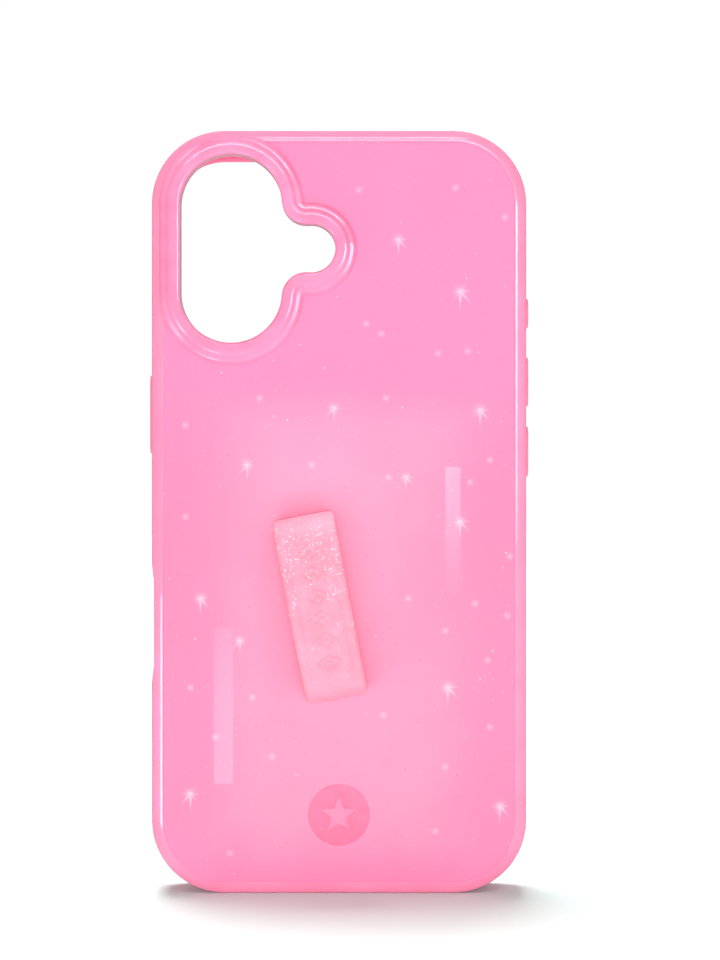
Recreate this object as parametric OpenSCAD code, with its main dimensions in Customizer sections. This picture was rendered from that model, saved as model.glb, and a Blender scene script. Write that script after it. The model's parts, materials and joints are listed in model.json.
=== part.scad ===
// Slim two-layer phone case with a finger strap: a soft bumper tray, a hard back plate over a
// decorated film, a raised camera rim, an inlaid badge, four push keys and a removable strap.
// Sizes are in millimetres. The case stands on its bottom edge at z = 0, midway in X and Y.
// +Z is up towards the camera end, and the back of the case faces -Y.

/* [Phone] */
// Width of the phone that the case holds
phone_w = 71.6; // [70:0.1:76]
// Height of the phone
phone_h = 147.6; // [146:0.1:160]
// Thickness of the phone
phone_t = 7.8; // [7.4:0.1:8.6]
// Corner radius of the phone, seen from the back
phone_r = 11.9; // [10:0.1:12.5]
// Gap between the phone and the pocket's walls
fit_gap = 0.15; // [0.05:0.05:0.4]

/* [Bumper] */
// Thickness of the long side walls
side_wall = 2.05; // [1.9:0.05:3]
// Thickness of the top and bottom walls
end_wall = 3.35; // [2.8:0.05:4]
// Corner radius of the case, seen from the back
case_r = 14.8; // [14:0.1:16]
// Thickness of the soft web under the hard plate
web_t = 1.1; // [1:0.05:1.6]
// Height of the front lip above the phone's screen
lip_t = 1.3; // [0.8:0.1:1.8]
// How far the front lip reaches over the screen's edge
lip_reach = 1.4; // [0.8:0.1:2]
// Radius of the edge between the back and the sides
back_round = 1.3; // [1.2:0.1:2]
// Radius of the edge between the front lip and the sides
front_round = 1.4; // [1:0.1:1.8]

/* [Back plate] */
// Thickness of the decorated film
film_t = 0.15; // [0.1:0.05:0.3]
// Thickness of the hard plate over the film
plate_t = 1.1; // [1:0.05:1.6]
// Width of the soft band round the hard plate
band_w = 2.6; // [2.4:0.1:2.8]

/* [Camera rim] */
// Place of the camera window across the case
cam_x = -21.75; // [-22.5:0.05:-21]
// Place of the camera window above the case's centre
cam_z = 53.15; // [52:0.05:54]
// Distance between the centres of the window's two round ends
cam_pitch = 17.6; // [17.4:0.1:18.4]
// Radius of the window's round ends
cam_r = 10.25; // [9.8:0.05:10.4]
// Place of the flash window's centre across the case
flash_x = -5.6; // [-6:0.05:-5]
// Radius of the flash window
flash_r = 4.9; // [4.4:0.1:5.2]
// Height of the rim above the back
rim_h = 1.9; // [1.2:0.1:2.4]

/* [Finger strap] */
// Width of the strap
strap_w = 12.4; // [10:0.1:14]
// Thickness of the strap
strap_t = 1.8; // [1.4:0.1:2.2]
// Length of the strap's arch from outside to outside
strap_span = 37.6; // [34:0.1:42]
// Height of the arch above the back
strap_rise = 10; // [9:0.1:12]
// Lean of the strap from upright, anticlockwise from behind
strap_tilt = 11; // [0:1:20]
// Place of the arch's middle across the case
strap_x = -3.7; // [-6:0.1:6]
// Place of the arch's middle above the case's centre
strap_z = -18.9; // [-24:0.1:-16]

/* [Badge] */
// Radius of the inlaid badge
badge_r = 6.35; // [5:0.05:8]
// Place of the badge above the case's centre
badge_z = -61.2; // [-62:0.1:-56]
// Depth of the badge's seat in the plate
badge_t = 0.5; // [0.3:0.05:0.7]

/* [Keys] */
// Width of a key, front to back
key_w = 3.6; // [3:0.1:4.2]
// How far a key stands out of the side wall
key_proud = 0.7; // [0.4:0.05:1]

/* [Hidden] */
$fn = 64;

pink = [1.0, 0.55, 0.75];
glitter_pink = [1.0, 0.62, 0.79];
strap_pink = [1.0, 0.73, 0.82];
badge_pink = [1.0, 0.5, 0.66];
eps = 0.01;

pocket_w = phone_w + 2 * fit_gap;
pocket_h = phone_h + 2 * fit_gap;
pocket_r = phone_r + fit_gap;
pocket_d = phone_t + 0.2;
case_w = pocket_w + 2 * side_wall;
case_h = pocket_h + 2 * end_wall;
back_z = web_t + film_t + plate_t;
front_z = -pocket_d - lip_t;
mid_z = -phone_t / 2;
seat_y = (back_z + strap_rise + front_z) / 2;
plate_r = case_r - band_w;

// Clearances between pieces that are put together
slip = 0.15;
sleeve_w = 1.1;
sleeve_gap = 0.05;

// Raised camera rim: a round bead on a lower step
rim_reach = 4.3;
rim_inset = 0.5;
bead_r = rim_h / 2;
bead_at = 1.1;
step_h = 0.6 * rim_h;
foot_r = step_h / 2;

// Centre of the arc that joins the camera window's end to the flash window, from the window's middle
neck_r = 5;
cam_end = [cam_x, cam_pitch / 2];
flash_at = [flash_x, 0];
end_reach = cam_r + neck_r;
flash_reach = flash_r + neck_r;
apart = norm(flash_at - cam_end);
along = (pow(end_reach, 2) - pow(flash_reach, 2) + pow(apart, 2)) / (2 * apart);
aside = sqrt(pow(end_reach, 2) - pow(along, 2));
ahead = (flash_at - cam_end) / apart;
neck_at = cam_end + along * ahead + aside * [-ahead[1], ahead[0]];

// Strap feet, their pockets in the web and the strap's bends
foot_w = strap_w + 3.6;
foot_l = strap_t + 3.2;
foot_t = 0.7;
foot_pocket = 0.8;
foot_z = foot_pocket - foot_t - 0.05;
foot_gap = 0.4;
slot_gap = 0.25;
bend_r = 4.5;
bend_steps = 9;
crest_r = 80;
crest_steps = 12;

// Keys: [side, place above the case's centre, length]
ACTION_KEY = [1, 40.6, 6.2];
VOLUME_UP_KEY = [1, 26.6, 10.2];
VOLUME_DOWN_KEY = [1, 12.3, 10.4];
SIDE_KEY = [-1, 19.9, 16.3];
ALL_KEYS = [ACTION_KEY, VOLUME_UP_KEY, VOLUME_DOWN_KEY, SIDE_KEY];
flange_t = 0.55;
flange_over = 0.8;
shoulder_in = 0.9;
nub_l_share = 0.45;

// Scooped window for the touch control on the phone's edge
control_z = -22.6;
control_l = 19;
control_w = 4.8;
scoop_l = 24.2;
scoop_ramp = 3.8;
scoop_d = 0.5;

// Openings in the bottom wall
port_l = 12.6;
port_w = 6.2;
sound_r = 0.75;
sound_pitch = 2.5;
sound_first = 11;
sound_count = 5;

// Everything is drawn with the back upwards, then stood up with its back towards -Y.
module stood_up() {
    translate([0, seat_y, case_h / 2]) rotate([90, 0, 0]) children();
}

module rounded_plan(w, h, r) {
    square([w - 2 * r, h], center = true);
    square([w, h - 2 * r], center = true);
    for (x = [-1, 1], y = [-1, 1])
        translate([x * (w / 2 - r), y * (h / 2 - r)]) circle(r);
}

// A flat-sided slot with round ends, its length along Y
module slot_plan(length, width) {
    square([width, length - width], center = true);
    for (y = [-1, 1]) translate([0, y * (length - width) / 2]) circle(width / 2);
}

module prism(z0, z1) {
    translate([0, 0, z0]) linear_extrude(z1 - z0) children();
}

// Half of the bumper's section, from its middle out to reach
module half_section(reach) {
    square_from(0, front_z + front_round, reach, back_z - back_round);
    square_from(0, front_z, reach - front_round, front_z + front_round);
    square_from(0, back_z - back_round, reach - back_round, back_z);
    translate([reach - front_round, front_z + front_round]) circle(front_round);
    translate([reach - back_round, back_z - back_round]) circle(back_round);
}

module square_from(x0, y0, x1, y1) {
    translate([x0, y0]) square([x1 - x0, y1 - y0]);
}

// A straight run of the section, along Y
module straight_run(reach, length) {
    for (m = [0, 1]) mirror([m, 0, 0])
        rotate([90, 0, 0]) translate([0, 0, -length / 2]) linear_extrude(length) half_section(reach);
}

module outer_block() {
    straight_run(case_w / 2, case_h - 2 * case_r);
    rotate(90) straight_run(case_h / 2, case_w - 2 * case_r);
    for (turn = [0, 1, 2, 3]) {
        x = (turn == 0 || turn == 3 ? 1 : -1) * (case_w / 2 - case_r);
        y = (turn < 2 ? 1 : -1) * (case_h / 2 - case_r);
        translate([x, y, 0]) rotate(90 * turn) rotate_extrude(angle = 90) half_section(case_r);
    }
}

function arc_points(centre, r, from, to, steps, skip = 0) = [
    for (i = [skip:steps - skip])
        let (angle = from + (to - from) * i / steps)
        centre + r * [cos(angle), sin(angle)]
];

function reversed(points) = [for (i = [len(points) - 1:-1:0]) points[i]];

function heading(v) = (atan2(v[1], v[0]) + 360) % 360;

// Upper half of the camera and flash windows' outline, grown by grow, from right to left
function camera_half(grow) = concat(
    arc_points(flash_at, flash_r + grow, 0, heading(neck_at - flash_at), 14),
    arc_points(neck_at, neck_r - grow, heading(flash_at - neck_at), heading(cam_end - neck_at), 12, 1),
    arc_points(cam_end, cam_r + grow, heading(neck_at - cam_end), 180, 32)
);

module camera_plan(grow) {
    half = camera_half(grow);
    lower = [for (i = [len(half) - 1:-1:1]) [half[i][0], -half[i][1]]];
    translate([0, cam_z]) polygon(concat(half, lower));
}

// Section of the raised rim, for a window that reaches to x = edge
module rim_section(edge) {
    square_from(edge - rim_inset, back_z, edge + rim_reach - foot_r, back_z + step_h);
    square_from(edge - rim_inset, back_z, edge + rim_reach, back_z + foot_r);
    translate([edge + bead_at, back_z + rim_h - bead_r]) circle(bead_r);
    translate([edge + rim_reach - foot_r, back_z + foot_r]) circle(foot_r);
}

// Raised ring round the camera window, before the window is cut
module camera_ring() {
    for (turn = [0, 180]) rotate(turn) {
        translate([0, cam_pitch / 2, 0]) rotate_extrude(angle = 180) rim_section(cam_r);
        translate([0, cam_pitch / 2, 0]) rotate([90, 0, 0])
            linear_extrude(cam_pitch) rim_section(cam_r);
    }
}

module at_strap() {
    translate([strap_x, strap_z, 0]) rotate(strap_tilt) children();
}

// Puts children at both of the strap's legs
module at_legs() {
    for (y = [-1, 1]) translate([0, y * (strap_span - strap_t) / 2, 0]) children();
}

module strap_slots() {
    at_strap() at_legs() prism(-1, back_z + 1)
        rounded_plan(strap_w + 2 * slot_gap, strap_t + 2 * slot_gap, 0.8);
}

module foot_pockets() {
    at_strap() at_legs() prism(-1, foot_pocket)
        rounded_plan(foot_w + 2 * foot_gap, foot_l + 2 * foot_gap, 1.2 + foot_gap);
}

// A stadium bar through a side wall, from x0 to x1 along X, at key's place
module side_bar(key, length, width, x0, x1) {
    place_x = key[0] > 0 ? x0 : -x1;
    translate([place_x, key[1], mid_z]) rotate([0, 90, 0])
        linear_extrude(x1 - x0) slot_plan(length, width);
}

module key_window(key) {
    side_bar(key, key[2] + 2 * slip, key_w + 2 * slip, pocket_w / 2 - 1, case_w / 2 + 1);
    side_bar(key, key[2] + 2 * (flange_over + slip), key_w + 2 * (flange_over + slip),
        pocket_w / 2 - 1, case_w / 2 - shoulder_in);
}

module push_key(key) {
    flange_x = case_w / 2 - shoulder_in - 0.05;
    side_bar(key, key[2], key_w, flange_x - flange_t, case_w / 2 + key_proud);
    side_bar(key, key[2] + 2 * flange_over, key_w + 2 * flange_over, flange_x - flange_t, flange_x);
    side_bar(key, key[2] * nub_l_share, 1.6, pocket_w / 2 + 0.05, flange_x - flange_t);
}

module control_window() {
    place = [-1, control_z];
    side_bar(place, control_l, control_w, pocket_w / 2 - 1, case_w / 2 + 1);
    wall_x = -case_w / 2;
    prism(front_z + front_round, back_z + 1) polygon([
        [wall_x - 1, control_z - scoop_l / 2],
        [wall_x, control_z - scoop_l / 2],
        [wall_x + scoop_d, control_z - scoop_l / 2 + scoop_ramp],
        [wall_x + scoop_d, control_z + scoop_l / 2 - scoop_ramp],
        [wall_x, control_z + scoop_l / 2],
        [wall_x - 1, control_z + scoop_l / 2],
    ]);
}

// Cuts children right through the bottom wall
module through_bottom() {
    translate([0, -case_h / 2 - 1, mid_z]) rotate([-90, 0, 0])
        linear_extrude(end_wall + 2) children();
}

module bottom_openings() {
    through_bottom() rotate(90) slot_plan(port_l, port_w);
    for (side = [-1, 1], i = [0:sound_count - 1])
        through_bottom() translate([side * (sound_first + i * sound_pitch), 0]) circle(sound_r);
}

module plate_plan(gap) {
    difference() {
        rounded_plan(case_w - 2 * band_w - 2 * gap, case_h - 2 * band_w - 2 * gap, plate_r - gap);
        camera_plan(sleeve_w + sleeve_gap);
    }
}

module bumper() {
    color(pink) stood_up() difference() {
        outer_block();
        prism(-pocket_d, 0) rounded_plan(pocket_w, pocket_h, pocket_r);
        prism(front_z - 1, -pocket_d + eps)
            rounded_plan(pocket_w - 2 * lip_reach, pocket_h - 2 * lip_reach, pocket_r - lip_reach);
        prism(web_t, back_z + 1)
            rounded_plan(case_w - 2 * band_w, case_h - 2 * band_w, plate_r);
        prism(-1, back_z) camera_plan(0);
        strap_slots();
        foot_pockets();
        for (key = ALL_KEYS) key_window(key);
        control_window();
        bottom_openings();
    }
}

module star_film() {
    color(glitter_pink) stood_up() difference() {
        prism(web_t, web_t + film_t) plate_plan(sleeve_gap);
        strap_slots();
    }
}

module back_plate() {
    color(glitter_pink) stood_up() difference() {
        prism(web_t + film_t, back_z) plate_plan(sleeve_gap);
        strap_slots();
        translate([0, badge_z, 0]) prism(back_z - badge_t, back_z + 1) circle(badge_r + sleeve_gap);
    }
}

module camera_rim() {
    color(pink) stood_up() difference() {
        union() {
            prism(web_t, back_z + foot_r) camera_plan(sleeve_w);
            translate([cam_x, cam_z, 0]) camera_ring();
            translate([flash_x, cam_z, 0]) rotate_extrude() rim_section(flash_r);
        }
        prism(0, back_z + rim_h + 1) camera_plan(0);
    }
}

function star_points(r_out, r_in) = [
    for (i = [0:9]) let (r = i % 2 == 0 ? r_out : r_in) [r * sin(36 * i), r * cos(36 * i)]
];

module star_plan(grow) {
    polygon(star_points(badge_r * 0.6 + grow, badge_r * 0.27 + grow));
}

module badge_disc() {
    color(badge_pink) stood_up() translate([0, badge_z, 0]) difference() {
        prism(back_z - badge_t, back_z) circle(badge_r);
        prism(back_z - badge_t / 2, back_z + 1) star_plan(sleeve_gap);
    }
}

module badge_star() {
    color(strap_pink) stood_up() translate([0, badge_z, 0])
        prism(back_z - badge_t / 2, back_z) star_plan(0);
}

// The arch's line from one foot to the other, moved in by inset: legs, bends and a long crest
function arch_line(inset) = let (
    half = strap_span / 2,
    bend_x = half - bend_r,
    crest_y = back_z + strap_rise - crest_r,
    crest_turn = acos(bend_x / (crest_r - bend_r)),
    bend_y = crest_y + (crest_r - bend_r) * sin(crest_turn)
) concat(
    [[half - inset, foot_z]],
    arc_points([bend_x, bend_y], bend_r - inset, 0, crest_turn, bend_steps),
    arc_points([0, crest_y], crest_r - inset, crest_turn, 180 - crest_turn, crest_steps, 1),
    arc_points([-bend_x, bend_y], bend_r - inset, 180 - crest_turn, 180, bend_steps),
    [[inset - half, foot_z]]
);

module finger_strap() {
    color(strap_pink) stood_up() at_strap() {
        rotate([90, 0, 90]) translate([0, 0, -strap_w / 2]) linear_extrude(strap_w)
            polygon(concat(arch_line(0), reversed(arch_line(strap_t))));
        at_legs() prism(foot_z, foot_z + foot_t) rounded_plan(foot_w, foot_l, 1.2);
    }
}

module action_key() {
    color(pink) stood_up() push_key(ACTION_KEY);
}

module volume_up_key() {
    color(pink) stood_up() push_key(VOLUME_UP_KEY);
}

module volume_down_key() {
    color(pink) stood_up() push_key(VOLUME_DOWN_KEY);
}

module side_key() {
    color(pink) stood_up() push_key(SIDE_KEY);
}

bumper();
star_film();
back_plate();
camera_rim();
badge_disc();
badge_star();
finger_strap();
action_key();
volume_up_key();
volume_down_key();
side_key();
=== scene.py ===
import json
import math
import bmesh
import bpy
import mathutils
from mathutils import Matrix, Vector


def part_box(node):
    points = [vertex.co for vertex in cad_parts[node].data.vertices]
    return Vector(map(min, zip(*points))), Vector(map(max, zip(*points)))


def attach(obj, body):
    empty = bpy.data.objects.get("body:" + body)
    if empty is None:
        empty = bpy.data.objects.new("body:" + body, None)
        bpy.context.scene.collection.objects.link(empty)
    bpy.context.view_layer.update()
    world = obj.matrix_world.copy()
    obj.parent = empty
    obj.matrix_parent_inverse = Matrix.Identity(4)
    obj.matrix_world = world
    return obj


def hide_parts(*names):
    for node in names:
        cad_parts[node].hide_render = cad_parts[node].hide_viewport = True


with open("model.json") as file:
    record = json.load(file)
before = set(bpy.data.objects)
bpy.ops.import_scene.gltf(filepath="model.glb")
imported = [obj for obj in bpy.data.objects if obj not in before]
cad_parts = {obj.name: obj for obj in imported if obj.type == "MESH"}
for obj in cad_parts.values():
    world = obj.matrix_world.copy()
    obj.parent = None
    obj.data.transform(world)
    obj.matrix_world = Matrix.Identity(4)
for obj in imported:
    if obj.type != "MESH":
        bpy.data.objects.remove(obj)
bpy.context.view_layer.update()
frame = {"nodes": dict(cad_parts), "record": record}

MM = 0.001
# The case's own coordinates, in mm: x to the right seen from behind, up from its middle, and
# depth out of the pocket's floor towards the decorated back.
SEAT = next(m for m in frame["record"]["mounts"] if m["name"] == "phone_seat")["pos_m"][1] / MM
BUMPER = [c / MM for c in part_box("bumper")]
CASE_W = BUMPER[1].x - BUMPER[0].x
CASE_H = BUMPER[1].z - BUMPER[0].z
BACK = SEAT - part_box("back_plate")[0].y / MM
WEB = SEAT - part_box("star_film")[1].y / MM
FRONT = SEAT - BUMPER[1].y
CASE_R = 14.8
POCKET_W, POCKET_H, POCKET_R, POCKET_D = 71.9, 147.9, 12.05, 8.0
# The band round the plate, how far it falls to the side wall, the round at the front, and the lip
BAND, BAND_DROP, FRONT_ROUND, LIP_REACH = 2.6, 1.9, 1.4, 1.4
# Depth of the middle of the keys and of the openings in the walls
MID = -3.9
TOUCH_UP, TOUCH_L, TOUCH_W = -22.6, 19, 4.8
PORT_L, PORT_W = 12.6, 6.2
SOUND_R, SOUND_FIRST, SOUND_PITCH, SOUND_COUNT = 0.75, 11, 2.5, 5

# Camera window, as in the design, and how far the plate's own opening stands off it
CAM_X, CAM_UP, CAM_PITCH, CAM_R = -21.75, 53.15, 17.6, 10.25
FLASH_X, FLASH_R, NECK_R = -5.6, 4.9, 5.0
PLATE_GAP = 1.15

# Finger strap
STRAP_X, STRAP_UP, STRAP_W, STRAP_T, STRAP_SPAN = -3.7, -18.9, 12.4, 1.8, 37.6
STRAP_RISE, STRAP_TILT = 10.0, math.radians(11)
BEND_R, CREST_R = 4.5, 80.0
STRAP_EDGE, CROWN, RELIEF = 0.8, 0.3, 0.22
FOOT_Z, FOOT_T = 0.05, 0.7
# Below the bends the legs are set in and narrower by a little
LEG_LEAN, LEG_TAPER = 0.25, 0.04
FOOT_PLACES = [leg * ((STRAP_SPAN - STRAP_T) / 2 - LEG_LEAN) for leg in (-1, 1)]

BADGE_UP, BADGE_R = -61.2, 6.35
STAR_TIP, STAR_NOTCH = 3.8, 1.75

# Keys: side, place up, length
KEYS = {
    "action_key": (1, 40.6, 6.2),
    "volume_up_key": (1, 26.6, 10.2),
    "volume_down_key": (1, 12.3, 10.4),
    "side_key": (-1, 19.9, 16.3),
}
# Their width, the wall left outside their flanges, the flanges, and the slip round them
KEY_W, SHOULDER, FLANGE_T, FLANGE_OVER, SLIP = 3.6, 0.9, 0.55, 0.8, 0.15
KEY_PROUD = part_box("action_key")[1].x / MM - BUMPER[1].x


def at(x, up, depth):
    """A place in the case's own coordinates as one in the frame, in metres."""
    return (x * MM, (SEAT - depth) * MM, (CASE_H / 2 + up) * MM)


# ---- Mesh tools ----


def add(name, data):
    """A new object in the scene."""
    obj = bpy.data.objects.new(name, data)
    bpy.context.scene.collection.objects.link(obj)
    return obj


def make(name, points, faces, sharp=40):
    """A closed mesh from points in the case's own coordinates, smooth except at sharp edges."""
    mesh = bpy.data.meshes.new(name)
    mesh.from_pydata([at(*p) for p in points], [], faces)
    bm = bmesh.new()
    bm.from_mesh(mesh)
    bmesh.ops.recalc_face_normals(bm, faces=bm.faces)
    bm.to_mesh(mesh)
    bm.free()
    mesh.shade_smooth()
    mesh.set_sharp_from_angle(angle=math.radians(sharp))
    return add(name, mesh)


def even_out(obj):
    """Keeps the shading of large faces flat beside rounded edges."""
    even = obj.modifiers.new("even", "WEIGHTED_NORMAL")
    even.keep_sharp = True
    even.weight = 90


def loft(rings, closed=False):
    """Points and faces of a skin over rings of equal length, with flat ends unless it is closed."""
    n = len(rings[0])
    points = [p for ring in rings for p in ring]
    faces = []
    for i in range(len(rings) if closed else len(rings) - 1):
        a, b = i * n, (i + 1) % len(rings) * n
        faces += [(a + j, a + (j + 1) % n, b + (j + 1) % n, b + j) for j in range(n)]
    if not closed:
        faces.append(tuple(range(n - 1, -1, -1)))
        faces.append(tuple(range((len(rings) - 1) * n, len(rings) * n)))
    return points, faces


def joined(*parts):
    """Several (points, faces) as one."""
    points, faces = [], []
    for p, f in parts:
        start = len(points)
        points += p
        faces += [tuple(start + i for i in face) for face in f]
    return points, faces


def arc(cx, cy, r, start, end, steps):
    """Points on an arc, with angles in degrees."""
    angles = [math.radians(start + (end - start) * i / steps) for i in range(steps + 1)]
    return [(cx + r * math.cos(a), cy + r * math.sin(a)) for a in angles]


def rounded(w, h, r, corner=14, tall=72, wide=14):
    """A rounded rectangle's outline, anticlockwise from its right side, with divided sides."""
    x, y = w / 2 - r, h / 2 - r
    line = [(w / 2, -y + 2 * y * i / tall) for i in range(1, tall)]
    line += arc(x, y, r, 0, 90, corner)
    line += [(x - 2 * x * i / wide, h / 2) for i in range(1, wide)]
    line += arc(-x, y, r, 90, 180, corner)
    line += [(-w / 2, y - 2 * y * i / tall) for i in range(1, tall)]
    line += arc(-x, -y, r, 180, 270, corner)
    line += [(-x + 2 * x * i / wide, -h / 2) for i in range(1, wide)]
    line += arc(x, -y, r, 270, 360, corner)
    return line


def stadium(length, width, steps=10):
    """A slot with round ends, its length along the first axis."""
    r = width / 2
    c = length / 2 - r
    return arc(c, 0, r, -90, 90, steps) + arc(-c, 0, r, 90, 270, steps)


def smooth_step(x, low, high):
    """0 below low, 1 above high, smooth between."""
    t = min(1, max(0, (x - low) / (high - low)))
    return t * t * (3 - 2 * t)


def cut(obj, *cutters):
    """Takes closed shells away from obj for good."""
    tool = make("cutter", *joined(*cutters))
    mod = obj.modifiers.new("cut", "BOOLEAN")
    mod.operation = "DIFFERENCE"
    mod.solver = "EXACT"
    mod.object = tool
    dg = bpy.context.evaluated_depsgraph_get()
    mesh = bpy.data.meshes.new_from_object(obj.evaluated_get(dg))
    obj.modifiers.clear()
    obj.data = mesh
    bpy.data.objects.remove(tool)
    mesh.set_sharp_from_angle(angle=math.radians(32))
    even_out(obj)


# ---- Camera window's outline ----


def camera_outline():
    """Points and outward directions round the window, anticlockwise."""
    end = (CAM_X, CAM_PITCH / 2)
    flash = (FLASH_X, 0)
    reach_end, reach_flash = CAM_R + NECK_R, FLASH_R + NECK_R
    gap = math.dist(end, flash)
    along = (reach_end**2 - reach_flash**2 + gap**2) / (2 * gap)
    aside = math.sqrt(reach_end**2 - along**2)
    ahead = ((flash[0] - end[0]) / gap, (flash[1] - end[1]) / gap)
    neck = (end[0] + along * ahead[0] - aside * ahead[1],
            end[1] + along * ahead[1] + aside * ahead[0])

    def heading(a, b):
        """Degrees anticlockwise from the first axis."""
        return math.degrees(math.atan2(b[1] - a[1], b[0] - a[0])) % 360

    def sweep(centre, r, start, stop, steps, side):
        out = []
        for i in range(steps):
            a = math.radians(start + (stop - start) * i / steps)
            c, s = math.cos(a), math.sin(a)
            out.append((centre[0] + r * c, centre[1] + r * s, side * c, side * s))
        return out

    half = sweep(flash, FLASH_R, 0, heading(flash, neck), 26, 1)
    half += sweep(neck, NECK_R, heading(neck, flash), heading(neck, end), 24, -1)
    half += sweep(end, CAM_R, heading(end, neck), 180, 56, 1)
    half += [(CAM_X - CAM_R, CAM_PITCH / 2 * (1 - i / 10), -1, 0) for i in range(11)]
    lower = [(x, -y, u, -v) for x, y, u, v in half[-2:0:-1]]
    return [(x, y + CAM_UP, u, v) for x, y, u, v in half + lower]


OUTLINE = camera_outline()


def camera_ring(reach, depth):
    """The window's outline, moved outward by reach."""
    return [(x + reach * u, y + reach * v, depth) for x, y, u, v in OUTLINE]


# ---- Strap's path ----


def strap_frame(across, along):
    """A place on the strap's plan, turned to its lean."""
    c, s = math.cos(STRAP_TILT), math.sin(STRAP_TILT)
    return (STRAP_X + across * c - along * s, STRAP_UP + across * s + along * c)


def strap_path():
    """The arch's outer line, foot to foot: (along, depth, normal along, normal depth, slimness)."""
    bend_x = STRAP_SPAN / 2 - BEND_R
    crest = BACK + STRAP_RISE - CREST_R
    turn = math.acos(bend_x / (CREST_R - BEND_R))
    bend_z = crest + (CREST_R - BEND_R) * math.sin(turn)
    low = FOOT_Z + FOOT_T / 2
    path = [(STRAP_SPAN / 2 - LEG_LEAN, low + (bend_z - low) * i / 10, 1, 0, 1) for i in range(10)]
    for i in range(20):
        a = turn * i / 20
        c, s = math.cos(a), math.sin(a)
        slim = 1 - smooth_step(i, 0, 5)
        path.append((bend_x + BEND_R * c - LEG_LEAN * slim, bend_z + BEND_R * s, c, s, slim))
    for i in range(151):
        a = turn + (math.pi - 2 * turn) * i / 150
        c, s = math.cos(a), math.sin(a)
        path.append((CREST_R * c, crest + CREST_R * s, c, s, 0))
    # The other bend and leg mirror the first 30 places
    return path + [(-v, d, -n, m, slim) for v, d, n, m, slim in path[29::-1]]


# ---- Pieces ----


def scoop(x, up, depth):
    """Draws a point on the left wall in over the touch control."""
    reach = smooth_step(TOUCH_L / 2 + 2.6 - abs(up - TOUCH_UP), 0, 3.8)
    dip = 0.5 * reach * smooth_step(depth, -8.3, -7.5)
    return (max(x, dip - CASE_W / 2), up, depth)


def band_roll():
    """Steps out from the plate's recess over the band's low crest and down to the side."""
    line = [(0, -0.2), (0.05, -0.1), (0.1, -0.03), (0.18, 0)]
    line += [(0.18 + t, -t * t / 3.4) for t in (0.1, 0.2, 0.3, 0.4, 0.5)]
    a, b, c = line[-1], (BAND, -0.66), (BAND, -BAND_DROP)
    for t in [i / 10 for i in range(1, 11)]:
        weights = ((1 - t) ** 2, 2 * t * (1 - t), t * t)
        line.append(tuple(sum(w * p[k] for w, p in zip(weights, (a, b, c))) for k in (0, 1)))
    return [(x, BACK + z) for x, z in line]


def bumper_rings():
    """Sections of the tray, from its plate recess over band and sides to the pocket's floor."""
    inner_w, inner_h, inner_r = CASE_W - 2 * BAND, CASE_H - 2 * BAND, CASE_R - BAND
    steps = [(inner_w, inner_h, inner_r, WEB)]
    for x, z in band_roll():
        steps.append((inner_w + 2 * x, inner_h + 2 * x, inner_r + x, z))
    for i in range(1, 9):
        z = BACK - BAND_DROP + (FRONT + FRONT_ROUND - BACK + BAND_DROP) * i / 9
        steps.append((CASE_W, CASE_H, CASE_R, z))
    for x, z in arc(-FRONT_ROUND, FRONT + FRONT_ROUND, FRONT_ROUND, 0, -90, 10):
        steps.append((CASE_W + 2 * x, CASE_H + 2 * x, CASE_R + x, z))
    lip_w, lip_h, lip_r = POCKET_W - 2 * LIP_REACH, POCKET_H - 2 * LIP_REACH, POCKET_R - LIP_REACH
    for x, z in arc(0.5, FRONT + 0.5, 0.5, -90, -180, 6):
        steps.append((lip_w + 2 * x, lip_h + 2 * x, lip_r + x, z))
    steps.append((lip_w, lip_h, lip_r, -POCKET_D - 0.15))
    steps.append((lip_w + 0.3, lip_h + 0.3, lip_r + 0.15, -POCKET_D))
    steps.append((POCKET_W, POCKET_H, POCKET_R, -POCKET_D))
    for i in range(1, 5):
        steps.append((POCKET_W, POCKET_H, POCKET_R, -POCKET_D + (POCKET_D - 0.5) * i / 4))
    for x, z in arc(-0.5, -0.5, 0.5, 0, 90, 5)[1:]:
        steps.append((POCKET_W + 2 * x, POCKET_H + 2 * x, POCKET_R + x, z))
    return [[scoop(x, y, z) for x, y in rounded(w, h, r)] for w, h, r, z in steps]


def side_shell(side, up, sizes):
    """A stepped stadium bar through a side wall, from (length, width, x) at each step."""
    rings = []
    for length, width, x in sizes:
        rings.append([(side * x, up + a, MID + b) for a, b in stadium(length, width)])
    return loft(rings)


def bottom_shell(across, outline, sizes):
    """An outline drawn up through the bottom wall, from (scale, up) at each step."""
    rings = []
    for grow, up in sizes:
        rings.append([(across + x * grow, up, MID + y * grow) for x, y in outline])
    return loft(rings)


def small_plan(w, h, r, along):
    """A small rounded rectangle at one of the strap's feet."""
    return [strap_frame(x, y + along) for x, y in rounded(w, h, r, 5, 1, 1)]


def strap_slot(along):
    """The slot that a leg slides through, 0.01 mm off it all round."""
    return small_plan(STRAP_W * (1 - LEG_TAPER) + 0.02, STRAP_T + 0.02, STRAP_EDGE, along)


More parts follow.
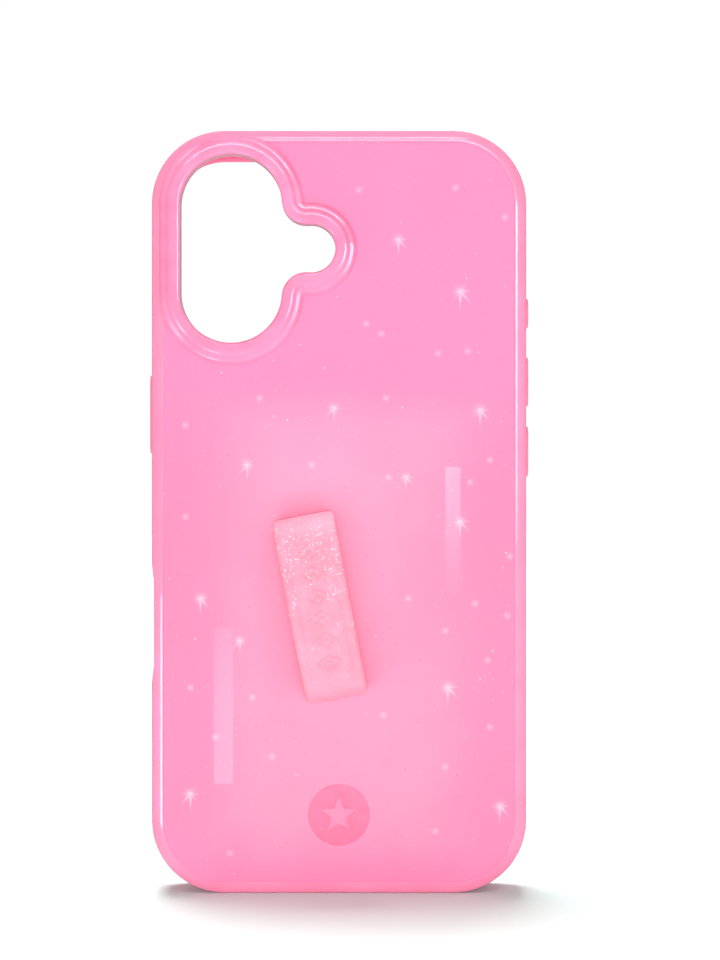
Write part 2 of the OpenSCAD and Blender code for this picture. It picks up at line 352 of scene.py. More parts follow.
def make_bumper():
    """The tray, with its camera window, key holes, touch control's cut-out, port and slots."""
    obj = make("bumper_tray", *loft(bumper_rings()))
    out, inner = CASE_W / 2, POCKET_W / 2
    cutters = [loft([camera_ring(0, -1), camera_ring(0, WEB + 1)])]
    wide, close, flare = 2 * (FLANGE_OVER + SLIP), 2 * SLIP, 2 * SLIP + 0.5
    hole = [(wide, inner - 1), (wide, out - SHOULDER), (close, out - SHOULDER),
            (close, out - 0.2), (flare, out + 0.05), (flare, out + 1)]
    for side, up, length in KEYS.values():
        cutters.append(side_shell(side, up, [(length + w, KEY_W + w, x) for w, x in hole]))
    touch = [(0.8, inner - 1), (0.8, inner + 0.01), (0, inner + 0.4), (0, out - 1.0),
             (1, out - 0.45), (1, out + 1)]
    cutters.append(side_shell(-1, TOUCH_UP, [(TOUCH_L + w, TOUCH_W + w, x) for w, x in touch]))
    low = -CASE_H / 2
    cutters.append(bottom_shell(0, stadium(PORT_L, PORT_W, 14), [
        (1.06, low - 1), (1.06, low - 0.01), (1, low + 0.4), (1, low + 5)]))
    sound = arc(0, 0, SOUND_R, 0, 360, 24)[:-1]
    for side in (-1, 1):
        for i in range(SOUND_COUNT):
            cutters.append(bottom_shell(side * (SOUND_FIRST + SOUND_PITCH * i), sound, [
                (1.3, low - 1), (1.3, low - 0.01), (1, low + 0.25), (1, low + 5)]))
    for along in FOOT_PLACES:
        slot = strap_slot(along)
        pocket = small_plan(STRAP_W + 4.4, STRAP_T + 4, 1.6, along)
        cutters.append(loft([
            [(x, y, -1) for x, y in pocket], [(x, y, 0.8) for x, y in pocket],
            [(x, y, 0.8) for x, y in slot], [(x, y, WEB + 1) for x, y in slot]]))
    cut(obj, *cutters)
    return obj


def flat_piece(name, outer, holes, low, high, edge):
    """A plate with holes and rounded edges."""
    curve = bpy.data.curves.new(name, "CURVE")
    curve.dimensions = "2D"
    curve.fill_mode = "BOTH"
    curve.extrude = (high - low) / 2 - edge
    curve.bevel_depth = edge
    curve.bevel_resolution = 3
    curve.offset = -edge
    for line in [outer] + holes:
        spline = curve.splines.new("POLY")
        spline.points.add(len(line) - 1)
        spline.use_cyclic_u = True
        for point, (x, y) in zip(spline.points, line):
            point.co = (x, y, 0, 1)
    source = add(name, curve)
    dg = bpy.context.evaluated_depsgraph_get()
    mesh = bpy.data.meshes.new_from_object(source.evaluated_get(dg))
    bpy.data.objects.remove(source)
    bm = bmesh.new()
    bm.from_mesh(mesh)
    bmesh.ops.remove_doubles(bm, verts=bm.verts, dist=0.002)
    points = [(v.co.x, v.co.y, v.co.z + (low + high) / 2) for v in bm.verts]
    faces = [tuple(v.index for v in f.verts) for f in bm.faces]
    bm.free()
    obj = make(name, points, faces, 35)
    even_out(obj)
    return obj


def make_plate():
    """The glossy back plate, which reaches 0.05 mm into the band all round."""
    w, h, r = CASE_W - 2 * BAND + 0.1, CASE_H - 2 * BAND + 0.1, CASE_R - BAND + 0.05
    outer = rounded(w, h, r, 24, 1, 1)
    window = [(x, y) for x, y, _ in camera_ring(PLATE_GAP, 0)]
    holes = [window] + [strap_slot(along) for along in FOOT_PLACES]
    return flat_piece("plate_gloss", outer, holes, WEB + 0.15, BACK - 0.02, 0.08)


def edge_drop(x, up):
    """How far the band's surface lies below the plate's at a place, in mm."""
    corner = CASE_R - BAND
    a = max(abs(x) - (CASE_W / 2 - BAND - corner), 0)
    b = max(abs(up) - (CASE_H / 2 - BAND - corner), 0)
    out = min(max(math.hypot(a, b) - corner, 0), BAND)
    line = [(d, BACK - z) for d, z in band_roll() if d > 0.15]
    for (d0, z0), (d1, z1) in zip(line, line[1:]):
        if out <= d1:
            return z0 + (z1 - z0) * max(0, out - d0) / max(d1 - d0, 1e-6)
    return line[-1][1]


def make_rim():
    """The raised rim: an inner round, a flat crest, a step and an outer round over the band."""
    # Each place is a distance outward from the window and a height over the plate
    roll = [(0, 0), (0, 0.9), (0, 1.25)]
    roll += [(0.75 - 0.75 * math.cos(a), 1.25 + 0.65 * math.sin(a))
             for a in [math.radians(v) for v in range(12, 91, 13)]]
    roll += [(1.2, 1.9), (1.6, 1.9), (1.9, 1.87), (2.2, 1.79), (2.45, 1.65), (2.65, 1.48)]
    roll += [(2.82, 1.3), (2.96, 1.15), (3.04, 1.1), (3.25, 1.08), (3.5, 1.02), (3.75, 0.9)]
    roll += [(3.95, 0.74), (4.12, 0.53), (4.25, 0.3), (4.34, 0.08), (4.38, -0.1)]
    profile = [(0, WEB)] + [(d, BACK + z) for d, z in roll]
    profile += [(4.38, BACK - 0.4), (1.2, BACK - 0.4), (1.1, WEB)]
    rings = []
    for d, z in profile:
        drape = smooth_step(d, 2.0, 3.6) if z > WEB + 0.1 else 0
        rings.append([(x, y, z - drape * edge_drop(x, y)) for x, y, z in camera_ring(d, z)])
    return make("rim_guard", *loft(rings, closed=True), 60)


def relief(across, along):
    """Height of the strap's raised pattern: a row of lozenges between two fine lines."""
    half, pitch, line_off = 13.2, 4.4, 4.1
    lozenge_along, lozenge_across = 1.75, 2.6
    fade = smooth_step(half + 0.6 - abs(along), 0, 0.6)
    line = 1 - smooth_step(abs(abs(across) - line_off), 0.12, 0.34)
    cell = (along + half) % pitch - pitch / 2
    spread = abs(cell) / lozenge_along + abs(across) / lozenge_across
    ring = 1 - smooth_step(abs(spread - 0.86), 0.1, 0.22)
    dot = 1 - smooth_step(math.hypot(cell, across), 0.3, 0.62)
    return RELIEF * fade * max(line, ring, dot)


def make_strap():
    """The band, with soft edges and a raised pattern on its crest, and its two feet."""
    half, edge = STRAP_W / 2, STRAP_EDGE
    side = arc(half - edge, -edge, edge, 90, 0, 5)
    back = arc(half - edge, -STRAP_T + edge, edge, 0, -90, 5)
    right = side + back
    left = [(-x, z) for x, z in reversed(right)]
    top = [(-half + edge + (STRAP_W - 2 * edge) * i / 56, 0) for i in range(1, 56)]
    section = right + left + top
    rings = []
    for along, depth, n, m, slim in strap_path():
        ring = []
        for across, inward in section:
            lift = inward
            if inward > -0.7:
                lift -= CROWN * (across / half) ** 2 * (1 - 0.9 * slim)
            if inward == 0 and m > 0.9:
                lift += relief(across, along) - RELIEF
            x, y = strap_frame(across * (1 - LEG_TAPER * slim), along + n * lift)
            ring.append((x, y, depth + m * lift))
        rings.append(ring)
    parts = [loft(rings)]
    steps = [(0.25, 0), (0.08, 0.07), (0, 0.22)]
    steps += [(shrink, FOOT_T - z) for shrink, z in steps[::-1]]
    for along in FOOT_PLACES:
        foot = []
        for shrink, z in steps:
            w, h = STRAP_W + 3.6 - 2 * shrink, STRAP_T + 3.2 - 2 * shrink
            foot.append([(x, y, FOOT_Z + z) for x, y in small_plan(w, h, 1.2 - shrink, along)])
        parts.append(loft(foot))
    return make("strap_band", *joined(*parts), 50)


def make_key(name, side, up, length):
    """A key, from its inner nub over its flange to a rounded, slightly dished top."""
    flange = CASE_W / 2 - SHOULDER - 0.05
    out = CASE_W / 2 + KEY_PROUD
    wide = 2 * FLANGE_OVER
    sizes = [
        (length * 0.45 - 0.4, 1.2, POCKET_W / 2 + 0.05),
        (length * 0.45, 1.6, POCKET_W / 2 + 0.25),
        (length * 0.45, 1.6, flange - FLANGE_T),
        (length + wide - 0.2, KEY_W + wide - 0.2, flange - FLANGE_T),
        (length + wide, KEY_W + wide, flange - FLANGE_T + 0.1),
        (length + wide, KEY_W + wide, flange),
        (length, KEY_W, flange),
    ]
    for x, z in arc(-0.4, out - 0.4, 0.4, 0, 80, 7):
        sizes.append((length + 2 * x, KEY_W + 2 * x, z))
    for shrink, z in ((1.3, -0.025), (1.9, -0.06), (2.4, -0.08)):
        sizes.append((length - shrink, KEY_W - shrink, out + z))
    return make(name, *side_shell(side, up, sizes), 45)


def make_badge():
    """The round badge, with a softly rounded edge."""
    disc = []
    for shrink, z in ((0.05, -0.5), (0.05, -0.12), (0.12, -0.02), (0.3, 0.03), (0.9, 0.04)):
        ring = arc(0, 0, BADGE_R - shrink, 0, 360, 96)[:-1]
        disc.append([(x, y + BADGE_UP, BACK + z) for x, y in ring])
    return make("badge_button", *loft(disc), 50)


def make_badge_star():
    """The five-pointed star on the badge, with a chamfered top."""
    rings = []
    for grow, z in ((0, -0.2), (0, 0.08), (-0.1, 0.16), (-0.35, 0.2)):
        ring = []
        for i in range(10):
            r = (STAR_TIP if i % 2 == 0 else STAR_NOTCH) + grow
            a = math.radians(36 * i)
            ring.append((r * math.sin(a), r * math.cos(a) + BADGE_UP, BACK + z))
        rings.append(ring)
    return make("badge_mark", *loft(rings), 25)


# ---- Materials ----


class Graph:
    """A small helper that wires a material's nodes. Its place is x, y and up, in mm."""

    def __init__(self, name):
        self.material = bpy.data.materials.new(name)
        self.material.use_nodes = True
        self.tree = self.material.node_tree
        self.shader = self.tree.nodes["Principled BSDF"]
        coords = self.tree.nodes.new("ShaderNodeTexCoord")
        scale = self.vector("SCALE", coords.outputs["Object"], scale=1 / MM)
        self.place = self.vector("SUBTRACT", scale, (0, 0, CASE_H / 2))

    def node(self, kind, **settings):
        node = self.tree.nodes.new(kind)
        for key, value in settings.items():
            setattr(node, key, value)
        return node

    def plug(self, socket, value):
        """Links a socket to another one, or sets it to a constant."""
        if isinstance(value, bpy.types.NodeSocket):
            self.tree.links.new(value, socket)
        elif value is not None:
            socket.default_value = value

    def math(self, operation, a, b=None, c=None, clamp=False):
        node = self.node("ShaderNodeMath", operation=operation, use_clamp=clamp)
        for socket, value in zip(node.inputs, (a, b, c)):
            self.plug(socket, value)
        return node.outputs[0]

    def vector(self, operation, a, b=None, c=None, scale=None):
        node = self.node("ShaderNodeVectorMath", operation=operation)
        for socket, value in zip(node.inputs, (a, b, c)):
            self.plug(socket, value)
        if scale is not None:
            self.plug(node.inputs["Scale"], scale)
        return node.outputs["Value" if operation in ("LENGTH", "DISTANCE") else "Vector"]

    def parts(self, vector):
        node = self.node("ShaderNodeSeparateXYZ")
        self.plug(node.inputs[0], vector)
        return node.outputs

    def mix(self, factor, a, b, kind="MIX"):
        """From colour a to colour b."""
        node = self.node("ShaderNodeMix", data_type="RGBA", blend_type=kind)
        node.clamp_factor = True
        self.plug(node.inputs[0], factor)
        self.plug(node.inputs[6], a)
        self.plug(node.inputs[7], b)
        return node.outputs[2]

    def pick(self, factor, a, b):
        """From vector a to vector b."""
        node = self.node("ShaderNodeMix", data_type="VECTOR")
        self.plug(node.inputs[0], factor)
        self.plug(node.inputs[4], a)
        self.plug(node.inputs[5], b)
        return node.outputs[1]

    def fade(self, value, low, high):
        """0 below low, 1 above high, smooth between; low may be the larger."""
        node = self.node("ShaderNodeMapRange", interpolation_type="SMOOTHSTEP")
        for socket, number in zip(node.inputs, (value, low, high, 0, 1)):
            self.plug(socket, number)
        return node.outputs[0]

    def noise(self, scale, detail):
        node = self.node("ShaderNodeTexNoise")
        self.plug(node.inputs["Vector"], self.place)
        node.inputs["Scale"].default_value = scale
        node.inputs["Detail"].default_value = detail
        return node.outputs[0]

    def specks(self, pitch, size, share):
        """Small bright grains, one in each cell of pitch mm, in a share of the cells."""
        node = self.node("ShaderNodeTexVoronoi")
        self.plug(node.inputs["Vector"], self.place)
        node.inputs["Scale"].default_value = 1 / pitch
        dot = self.fade(node.outputs["Distance"], size / pitch, 0.35 * size / pitch)
        rand = self.parts(node.outputs["Color"])
        lit = self.math("POWER", self.fade(rand[0], 1 - share, 1), 3.2)
        return self.math("MULTIPLY", dot, lit)

    def bump(self, height, distance):
        node = self.node("ShaderNodeBump")
        node.inputs["Distance"].default_value = distance * MM
        node.inputs["Strength"].default_value = 1.0
        self.plug(node.inputs["Height"], height)
        self.tree.links.new(node.outputs[0], self.shader.inputs["Normal"])

    def set(self, **sockets):
        for key, value in sockets.items():
            self.plug(self.shader.inputs[key.replace("_", " ")], value)


def srgb(r, g, b):
    """An 8-bit screen colour as a linear one."""
    return tuple(((c / 255 + 0.055) / 1.055) ** 2.4 for c in (r, g, b)) + (1.0,)


WHITE = (1.0, 1.0, 1.0, 1.0)
PALE = srgb(255, 236, 246)

# Printed stars: x, up from the case's middle, the long ray's length in mm, and 1 or -1 for the
# side that the slanting ray points to
STARS = [
    (12, 55, 3.8, 1), (24.5, 44.5, 4.4, 1), (28.5, 20.5, 4.2, 1), (-1, 21, 3.6, -1),
    (-18.5, 9.5, 3.6, -1), (13.5, 7, 3.2, 1), (24.5, -2, 3.8, 1), (-28, -17.5, 4.0, 1),
    (-20, -26, 3.4, -1), (22, -35.5, 4.2, 1), (-30, -57, 4.0, -1), (32.5, -59.5, 4.2, 1),
]
# Faint dots of light between them: x and up
GLINTS = [
    (4, 65), (23.5, 65.5), (33.5, 59.5), (5.5, 38), (8.5, 36), (20, 32), (26, 32.5), (9.5, 23),
    (-16, 23), (-31, 17.5), (-5.5, 9.5), (-31, -1), (10, 7), (26.5, 6), (30.5, 10.5), (-30, -35.5),
    (-17.5, -37.5), (-25, -45.5), (-13.5, -49.5), (-22, -69), (14, -17.5), (27.5, -18.5),
    (21.5, -24), (34.5, -9), (34, -21), (30, -30), (30.5, -43.5), (9, -41), (21.5, -51.5),
    (19.5, -64.5),
]
# Rays through a star's heart, each an angle in degrees and, in star lengths, how far its middle is
# off the heart and half its length, and its gain
RAYS = [
    (-90, 0.27, 0.72, 1.0), (4, 0.04, 0.52, 1.0), (-47, 0.18, 0.64, 1.0), (47, 0.02, 0.46, 0.95),
]


def star_light(g):
    """Brightness of the printed stars, with eight fine rays and a soft heart, and of the glints."""
    flat = g.vector("MULTIPLY", g.place, (1, 0, 1))
    best, near = None, None
    for x, up, size, side in STARS:
        scale = (side / size, 1, 1 / size)
        local = g.vector("MULTIPLY_ADD", flat, scale, (-x * scale[0], 0, -up * scale[2]))
        away = g.vector("LENGTH", local)
        if best is None:
            best, near = local, away
        else:
            best = g.pick(g.math("LESS_THAN", away, near), best, local)
            near = g.math("MINIMUM", away, near)
    x, _, z = g.parts(best)
    light = g.math("MULTIPLY", g.fade(near, 0.2, 0.03), 0.8)
    for angle, shift, reach, gain in RAYS:
        c, s = math.cos(math.radians(angle)), math.sin(math.radians(angle))
        along = g.math("ADD", g.math("MULTIPLY", x, c), g.math("MULTIPLY_ADD", z, s, -shift))
        aside = g.math("SUBTRACT", g.math("MULTIPLY", z, c), g.math("MULTIPLY", x, s))
        spent = g.math("MULTIPLY", g.math("ABSOLUTE", along), 1 / reach)
        left = g.math("SUBTRACT", 1.0, spent, clamp=True)
        width = g.math("MULTIPLY_ADD", left, 0.06, 0.026)
        off = g.math("DIVIDE", g.math("ABSOLUTE", aside), width)
        thin = g.math("SUBTRACT", 1.0, off, clamp=True)
        ray = g.math("MULTIPLY", g.math("MULTIPLY", thin, left), gain)
        light = g.math("MAXIMUM", light, ray)
    glow = g.math("MULTIPLY", g.fade(near, 0.5, 0.0), 0.25)
    spot = None
    for x, up in GLINTS:
        away = g.vector("DISTANCE", flat, (x, 0, up))
        spot = away if spot is None else g.math("MINIMUM", spot, away)
    glint = g.math("MULTIPLY", g.math("POWER", g.fade(spot, 1.35, 0.0), 2.0), 0.62)
    return g.math("ADD", g.math("MAXIMUM", light, glint), glow, clamp=True)


def cloud(g):
    """A paler middle of the back, fading out to the sides, top and bottom, and less pale in a band
    at the strap's height.
    """
    x, _, up = g.parts(g.place)
    wobble = g.math("MULTIPLY_ADD", g.noise(0.045, 1.5), 14.0, -7.0)
    across = g.math("ABSOLUTE", g.math("ADD", x, wobble))
    sides = g.fade(across, 33, 14)
    height = g.math("MULTIPLY_ADD", wobble, 0.5, up)
    top = g.fade(height, 27, 16)
    low = g.fade(height, -76, -64)
    from_strap = g.math("ABSOLUTE", g.math("ADD", up, 17.0))
    dip = g.math("MULTIPLY_ADD", g.fade(from_strap, 6, 22), 0.25, 0.75)
    return g.math("MULTIPLY", g.math("MULTIPLY", sides, top), g.math("MULTIPLY", low, dip))


def glitter_material(name, base, pale, coat):
    """Pink under gloss, with a paler middle, printed stars and glitter, painted light round the
    strap and painted shade lower down.
    """
    g = Graph(name)
    tone = g.mix(cloud(g), base, pale)
    drift = g.fade(g.noise(0.06, 3.0), 0.35, 0.7)
    tone = g.mix(g.math("MULTIPLY", drift, 0.18), tone, srgb(255, 130, 173))
    # Painted shade: darker and pinker from the top down to the lower half, easing off again near
    # the bottom edge
    _, _, up = g.parts(g.place)
    painted_shade_low = g.math("MULTIPLY_ADD", g.fade(up, -58, -76), -0.7, 1.0)
    painted_shade_low = g.math("MULTIPLY", g.fade(up, 50, -15), painted_shade_low)
    tone = g.mix(painted_shade_low, tone, (1, 0.91, 0.87, 1), "MULTIPLY")
    # Painted light: a paler ellipse round the strap that lifts the shade the strap casts on the
    # back
    wide, high = 16, 25
    centre = (-STRAP_X / wide, 0, -(STRAP_UP + 5) / high)
    around = g.vector("MULTIPLY_ADD", g.place, (1 / wide, 0, 1 / high), centre)
    painted_light_round_strap = g.fade(g.vector("LENGTH", around), 1.4, 0.5)
    tone = g.mix(painted_light_round_strap, tone, (1, 1.18, 1.13, 1), "MULTIPLY")
    tone = g.mix(g.specks(1.5, 0.22, 1.0), tone, srgb(226, 118, 158))
    fine = g.math("MULTIPLY", g.specks(0.8, 0.15, 0.5), 0.5)
    large = g.math("MULTIPLY", g.specks(2.6, 0.2, 0.9), 0.95)
    light = g.math("MAXIMUM", fine, large)
    light = g.math("MAXIMUM", light, g.math("MULTIPLY", star_light(g), 0.4))
    g.set(Base_Color=g.mix(light, tone, PALE), Roughness=0.38, Coat_Weight=coat,
          Coat_Roughness=0.02, Coat_IOR=1.5, IOR=1.4, Specular_IOR_Level=0.2)
    return g.material


# Spacing of the dots on the pocket's floor
DOT_PITCH = 1.2


def band_material():
    """Glossy rubber with a little glitter and a faint swirl, and dots on the pocket's floor."""
    g = Graph("bumper_rubber_gloss")
    drift = g.fade(g.noise(0.09, 4.0), 0.3, 0.75)
    tone = g.mix(drift, srgb(255, 133, 171), srgb(255, 141, 178))
    light = g.math("MULTIPLY", g.specks(1.6, 0.2, 0.3), 0.6)
    g.set(Base_Color=g.mix(light, tone, srgb(255, 232, 243)), Roughness=0.3, Coat_Weight=1.0,
          Coat_Roughness=0.04, Specular_IOR_Level=0.3)
    _, y, _ = g.parts(g.place)
    floor = g.fade(g.math("ABSOLUTE", g.math("SUBTRACT", y, SEAT)), 0.06, 0.02)
    grid = g.node("ShaderNodeTexVoronoi")
    g.plug(grid.inputs["Vector"], g.vector("MULTIPLY", g.place, (1, 0, 1)))
    grid.inputs["Scale"].default_value = 1 / DOT_PITCH
    grid.inputs["Randomness"].default_value = 0.0
    dots = g.math("MULTIPLY", g.fade(grid.outputs["Distance"], 0.26, 0.2), floor)
    g.bump(g.math("ADD", dots, g.math("MULTIPLY", g.noise(0.7, 2.0), 0.03)), 0.06)
    return g.material


def rim_material():
    """Clear gloss with soft waves and a few grains."""
    g = Graph("rim_gloss")
    drift = g.fade(g.noise(0.12, 3.0), 0.3, 0.7)
    tone = g.mix(drift, srgb(255, 126, 168), srgb(255, 139, 180))
    light = g.math("MULTIPLY", g.specks(1.3, 0.2, 0.25), 0.55)
    g.set(Base_Color=g.mix(light, tone, PALE), Roughness=0.3, Coat_Weight=1.0,
          Coat_Roughness=0.02, Specular_IOR_Level=0.3)
    g.bump(g.noise(0.35, 2.0), 0.02)
    return g.material


def key_material():
    """Gloss with a few grains."""
    g = Graph("key_gloss")
    tone = g.mix(g.fade(g.noise(0.3, 3.0), 0.3, 0.7), srgb(255, 124, 164), srgb(255, 137, 176))
    light = g.math("MULTIPLY", g.specks(1.1, 0.18, 0.25), 0.5)
    g.set(Base_Color=g.mix(light, tone, PALE), Roughness=0.32, Coat_Weight=1.0,
          Coat_Roughness=0.05, Specular_IOR_Level=0.3)
    g.bump(g.noise(1.2, 3.0), 0.02)
    return g.material


def strap_material():
    """Soft milky rubber with glitter, thickest in patches towards the upper end, and a paler upper
    end that is painted light from above.
    """
    g = Graph("strap_rubber_glitter")
    _, _, up = g.parts(g.place)
    tone = g.mix(g.fade(g.noise(0.25, 4.0), 0.3, 0.72), srgb(255, 137, 161), srgb(255, 147, 172))
    tone = g.mix(g.fade(up, -30, -42), tone, srgb(255, 140, 166))
    # Painted light: the upper end is paler, as if lit from above
    tone = g.mix(g.fade(up, -6, 0), tone, srgb(255, 168, 192))
    clumps = g.math("ADD", g.noise(0.32, 3.0), 0.32)
    patch = g.fade(g.math("MULTIPLY_ADD", up, 0.018, clumps), 0.5, 0.64)
    inner = g.math("MULTIPLY", g.fade(up, -36, -32), g.fade(up, 1, -4))
    patch = g.math("MULTIPLY", g.math("MULTIPLY_ADD", patch, 0.8, 0.2), inner)
    coarse = g.math("MULTIPLY", g.specks(0.95, 0.26, 0.7), 0.9)
    dust = g.math("MAXIMUM", g.specks(0.42, 0.2, 1.0), coarse)
    light = g.math("MULTIPLY", dust, g.math("MULTIPLY", patch, 0.8))
    shade = g.math("MULTIPLY", g.specks(0.5, 0.22, 0.5), g.math("MULTIPLY", patch, 0.5))
    tone = g.mix(shade, tone, srgb(214, 140, 168))
    g.set(Base_Color=g.mix(light, tone, WHITE), Roughness=g.math("MULTIPLY_ADD", light, -0.3, 0.5),
          Specular_IOR_Level=0.4, Coat_Weight=0.15, Coat_Roughness=0.2, Sheen_Weight=0.1)
    g.bump(g.math("ADD", g.noise(2.2, 4.0), g.math("MULTIPLY", dust, 0.6)), 0.035)
    return g.material


def badge_material(name, low, high, grain):
    """Satin between two tones, with grains in a share of its cells."""
    g = Graph(name)
    tone = g.mix(g.fade(g.noise(0.4, 3.0), 0.3, 0.7), low, high)
    light = g.math("MULTIPLY", g.specks(1.2, 0.18, grain), 0.6)
    g.set(Base_Color=g.mix(light, tone, srgb(255, 225, 238)), Roughness=0.35, Coat_Weight=0.8,
          Coat_Roughness=0.05, Specular_IOR_Level=0.3)
    g.bump(g.noise(1.5, 3.0), 0.02)
    return g.material


def wear(obj, material):
    """Gives obj this one material."""
    obj.data.materials.clear()
    obj.data.materials.append(material)


# ---- Assembly ----

ROOT = "case"

bumper = make_bumper()
wear(bumper, band_material())
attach(bumper, ROOT)
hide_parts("bumper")

plate = make_plate()
wear(plate, glitter_material("plate_glitter_gloss", srgb(255, 134, 178), srgb(255, 149, 187), 1.0))
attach(plate, ROOT)
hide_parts("back_plate")

rim = make_rim()
wear(rim, rim_material())
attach(rim, ROOT)
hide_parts("camera_rim")

badge = make_badge()
wear(badge, badge_material("badge_deep_pink", srgb(255, 114, 150), srgb(255, 121, 158), 0.2))
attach(badge, ROOT)
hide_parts("badge_disc")

mark = make_badge_star()
wear(mark, badge_material("badge_mark_pink", srgb(255, 130, 166), srgb(255, 140, 174), 0.3))
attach(mark, ROOT)
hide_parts("badge_star")

film_look = glitter_material("film_glitter", srgb(255, 133, 176), srgb(255, 150, 187), 0.3)
wear(frame["nodes"]["star_film"], film_look)

strap = make_strap()
wear(strap, strap_material())
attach(strap, "strap")
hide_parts("finger_strap")

keys = []
key_look = key_material()
for node, (side, up, length) in KEYS.items():
    key = make_key(node + "_cap", side, up, length)
    wear(key, key_look)
    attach(key, node.replace("_key", ""))
    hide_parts(node)
    keys.append(key)


# ---- Stage ----


def staged(name, points, faces, material):
    """A part of the studio, from points in mm in the frame."""
    mesh = bpy.data.meshes.new(name)
    mesh.from_pydata([tuple(c * MM for c in p) for p in points], [], faces)
    mesh.materials.append(material)
    obj = add(name, mesh)
    return obj


def ribbon(count):
    """Faces between two closed rings of count points each."""
    return [(i, (i + 1) % count, count + (i + 1) % count, count + i) for i in range(count)]


def group(name, pieces):
    """A collection of the pieces that a lamp shines on."""
    collection = bpy.data.collections.new(name)
    for piece in pieces:
        collection.objects.link(piece)
    return collection


def floor_material():
    material = bpy.data.materials.new("studio_white")
    material.use_nodes = True
    shader = material.node_tree.nodes["Principled BSDF"]
    shader.inputs["Base Color"].default_value = (0.8, 0.94, 0.9, 1)
    shader.inputs["Roughness"].default_value = 0.9
    shader.inputs["Specular IOR Level"].default_value = 0.1
    return material


def glow_material(name, strength, top=1.0, low=1.0):
    """A lamp panel whose light falls from top to low along its height."""
    material = bpy.data.materials.new(name)
    material.use_nodes = True
    tree = material.node_tree
    tree.nodes.clear()
    coords = tree.nodes.new("ShaderNodeTexCoord")
    split = tree.nodes.new("ShaderNodeSeparateXYZ")
    ramp = tree.nodes.new("ShaderNodeMapRange")
    ramp.inputs["To Min"].default_value = low * strength
    ramp.inputs["To Max"].default_value = top * strength
    light = tree.nodes.new("ShaderNodeEmission")
    out = tree.nodes.new("ShaderNodeOutputMaterial")
    tree.links.new(coords.outputs["Generated"], split.inputs[0])
    tree.links.new(split.outputs[2], ramp.inputs["Value"])
    tree.links.new(ramp.outputs[0], light.inputs["Strength"])
    tree.links.new(light.outputs[0], out.inputs["Surface"])
    return material


def hide_lamp(obj):
    """Leaves a lamp panel only in the gloss."""
    obj.visible_camera = False
    obj.visible_shadow = False
    obj.visible_diffuse = False


def panel(name, corners, material, pieces):
    """A lamp panel that shows only in the gloss of some pieces."""
    obj = staged(name, corners, [(0, 1, 2, 3)], material)
    hide_lamp(obj)
    obj.light_linking.receiver_collection = pieces


def screen(name, left, right, low, high, strength, top, bottom, pieces):
    """An upright panel between two places on the floor plan, from low to high."""
    corners = [(*left, low), (*right, low), (*right, high), (*left, high)]
    panel(name, corners, glow_material(name, strength, top, bottom), pieces)


def point_at(obj, direction):
    obj.rotation_euler = mathutils.Vector(direction).to_track_quat("-Z", "Y").to_euler()


def area(name, place, target, width, height, power):
    """A soft lamp at a place, turned to its target."""
    light = bpy.data.lights.new(name, "AREA")
    light.shape = "RECTANGLE"
    light.size, light.size_y = width * MM, height * MM
    light.energy = power
    obj = add(name, light)
    obj.location = [c * MM for c in place]
    obj.visible_glossy = False
    obj.visible_camera = False
    point_at(obj, [t - c for t, c in zip(target, place)])
    return obj


# Brightness of the room, and of the white wall round it, which only the camera sees
ROOM, WALL = 0.35, 1.05
WALL_R, WALL_H, WALL_STEPS = 2500, 3000, 48
# The camera's place across and up, and how far it stands off the back
EYE_X, EYE_UP, CAMERA_BACK = 4.25, 83.75, 373.3

floor = staged("floor", [(-4000, -3000, 0), (4000, -3000, 0), (4000, 4000, 0), (-4000, 4000, 0)],
               [(0, 1, 2, 3)], floor_material())
floor.visible_glossy = False

world = bpy.data.worlds.new("studio")
world.use_nodes = True
world.node_tree.nodes["Background"].inputs["Color"].default_value = (1, 1, 1, 1)
world.node_tree.nodes["Background"].inputs["Strength"].default_value = ROOM
bpy.context.scene.world = world

ring = arc(0, 0, WALL_R, 0, 360, WALL_STEPS)[:-1]
wall = staged("wall", [(x, y, z) for z in (-10, WALL_H) for x, y in ring],
              ribbon(WALL_STEPS) + [tuple(range(WALL_STEPS, 2 * WALL_STEPS))],
              glow_material("wall_white", WALL))
wall.visible_diffuse = False
wall.visible_glossy = False
wall.visible_shadow = False

sun = bpy.data.lights.new("overhead", "SUN")
sun.energy = 3.2
sun.angle = math.radians(26)
overhead = add("overhead", sun)
overhead.visible_glossy = False
point_at(overhead, (0.09, -0.23, -1))

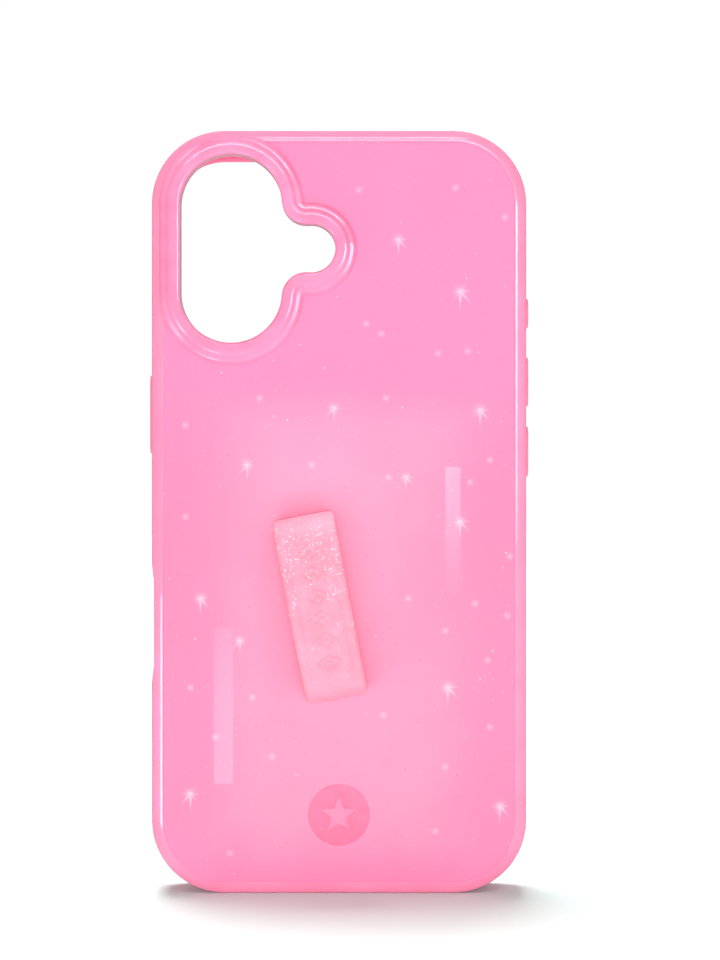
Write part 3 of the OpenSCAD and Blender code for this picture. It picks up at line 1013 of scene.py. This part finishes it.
centre = (0, 0, CASE_H / 2)
area("front", (4, -640, 100), centre, 180, 160, 1.42)
area("front_left", (-330, -600, 140), centre, 320, 240, 0.28)
area("front_right", (340, -600, 140), centre, 320, 240, 0.22)
area("high_right", (190, -300, 430), centre, 200, 160, 0.3)
area("low_front", (0, -90, 8), (0, 0, 8), 240, 13, 0.036)
strap_top = area("strap_top", (5, -70, 440), (-10, -10, 78), 120, 80, 0.4)
strap_top.light_linking.receiver_collection = group("strap_only", [strap])

edges = group("edges", [bumper, rim] + keys)
rim_only = group("rim_only", [rim])
faces = group("faces", [plate, badge, mark])
screen("line_right", (96, -243), (190, -197), 62, 180, 14.5, 1.0, 0.3, edges)
screen("line_left", (-70, -44), (-49, -54), 2, 57, 12, 0.7, 1.0, edges)
screen("line_top", (-130, -225), (110, -225), 240, 290, 10, 1.0, 1.0, edges)
screen("line_high", (-80, -160), (70, -160), 332, 350, 11, 1.0, 1.0, edges)
screen("low_left", (-205, -175), (-165, -205), 20, 65, 14, 1.0, 1.0, rim_only)
panel("floor_gleam", [(-26, -75, 0.05), (26, -75, 0.05), (26, -11.5, 0.05), (-26, -11.5, 0.05)],
      glow_material("floor_gleam", 1.4), edges)
screen("strip_right", (26.2, -101), (30.0, -101), 51, 87, 4.6, 1.0, 0.0, faces)
screen("strip_left", (-33.2, -101), (-28.3, -101), 5.9, 46, 3.3, 0.5, 1.0, faces)

# A sheet as bright as the room, round the case just behind the band, that keeps the lamp panels
# out of the side walls' gloss
FLAG_Y, FLAG_NEAR, FLAG_FAR = SEAT - BACK + BAND_DROP + 0.03, 0.05, 50
inner = rounded(CASE_W + 2 * FLAG_NEAR, CASE_H + 2 * FLAG_NEAR, CASE_R + FLAG_NEAR)
outer = rounded(CASE_W + 2 * FLAG_FAR, CASE_H + 2 * FLAG_FAR, CASE_R + FLAG_FAR)
flag = staged("flag", [(x, FLAG_Y, up + CASE_H / 2) for x, up in inner + outer],
              ribbon(len(inner)), glow_material("flag", ROOM))
hide_lamp(flag)

camera = add("camera", bpy.data.cameras.new("camera"))
camera.location = (EYE_X * MM, (SEAT - BACK - CAMERA_BACK) * MM, EYE_UP * MM)
camera.rotation_euler = (math.radians(90), 0, 0)
camera.data.lens = 69.3
camera.data.sensor_width = 36
camera.data.clip_start = 0.01
bpy.context.scene.camera = camera
bpy.context.scene.view_settings.view_transform = "Standard"
bpy.context.scene.view_settings.look = "None"
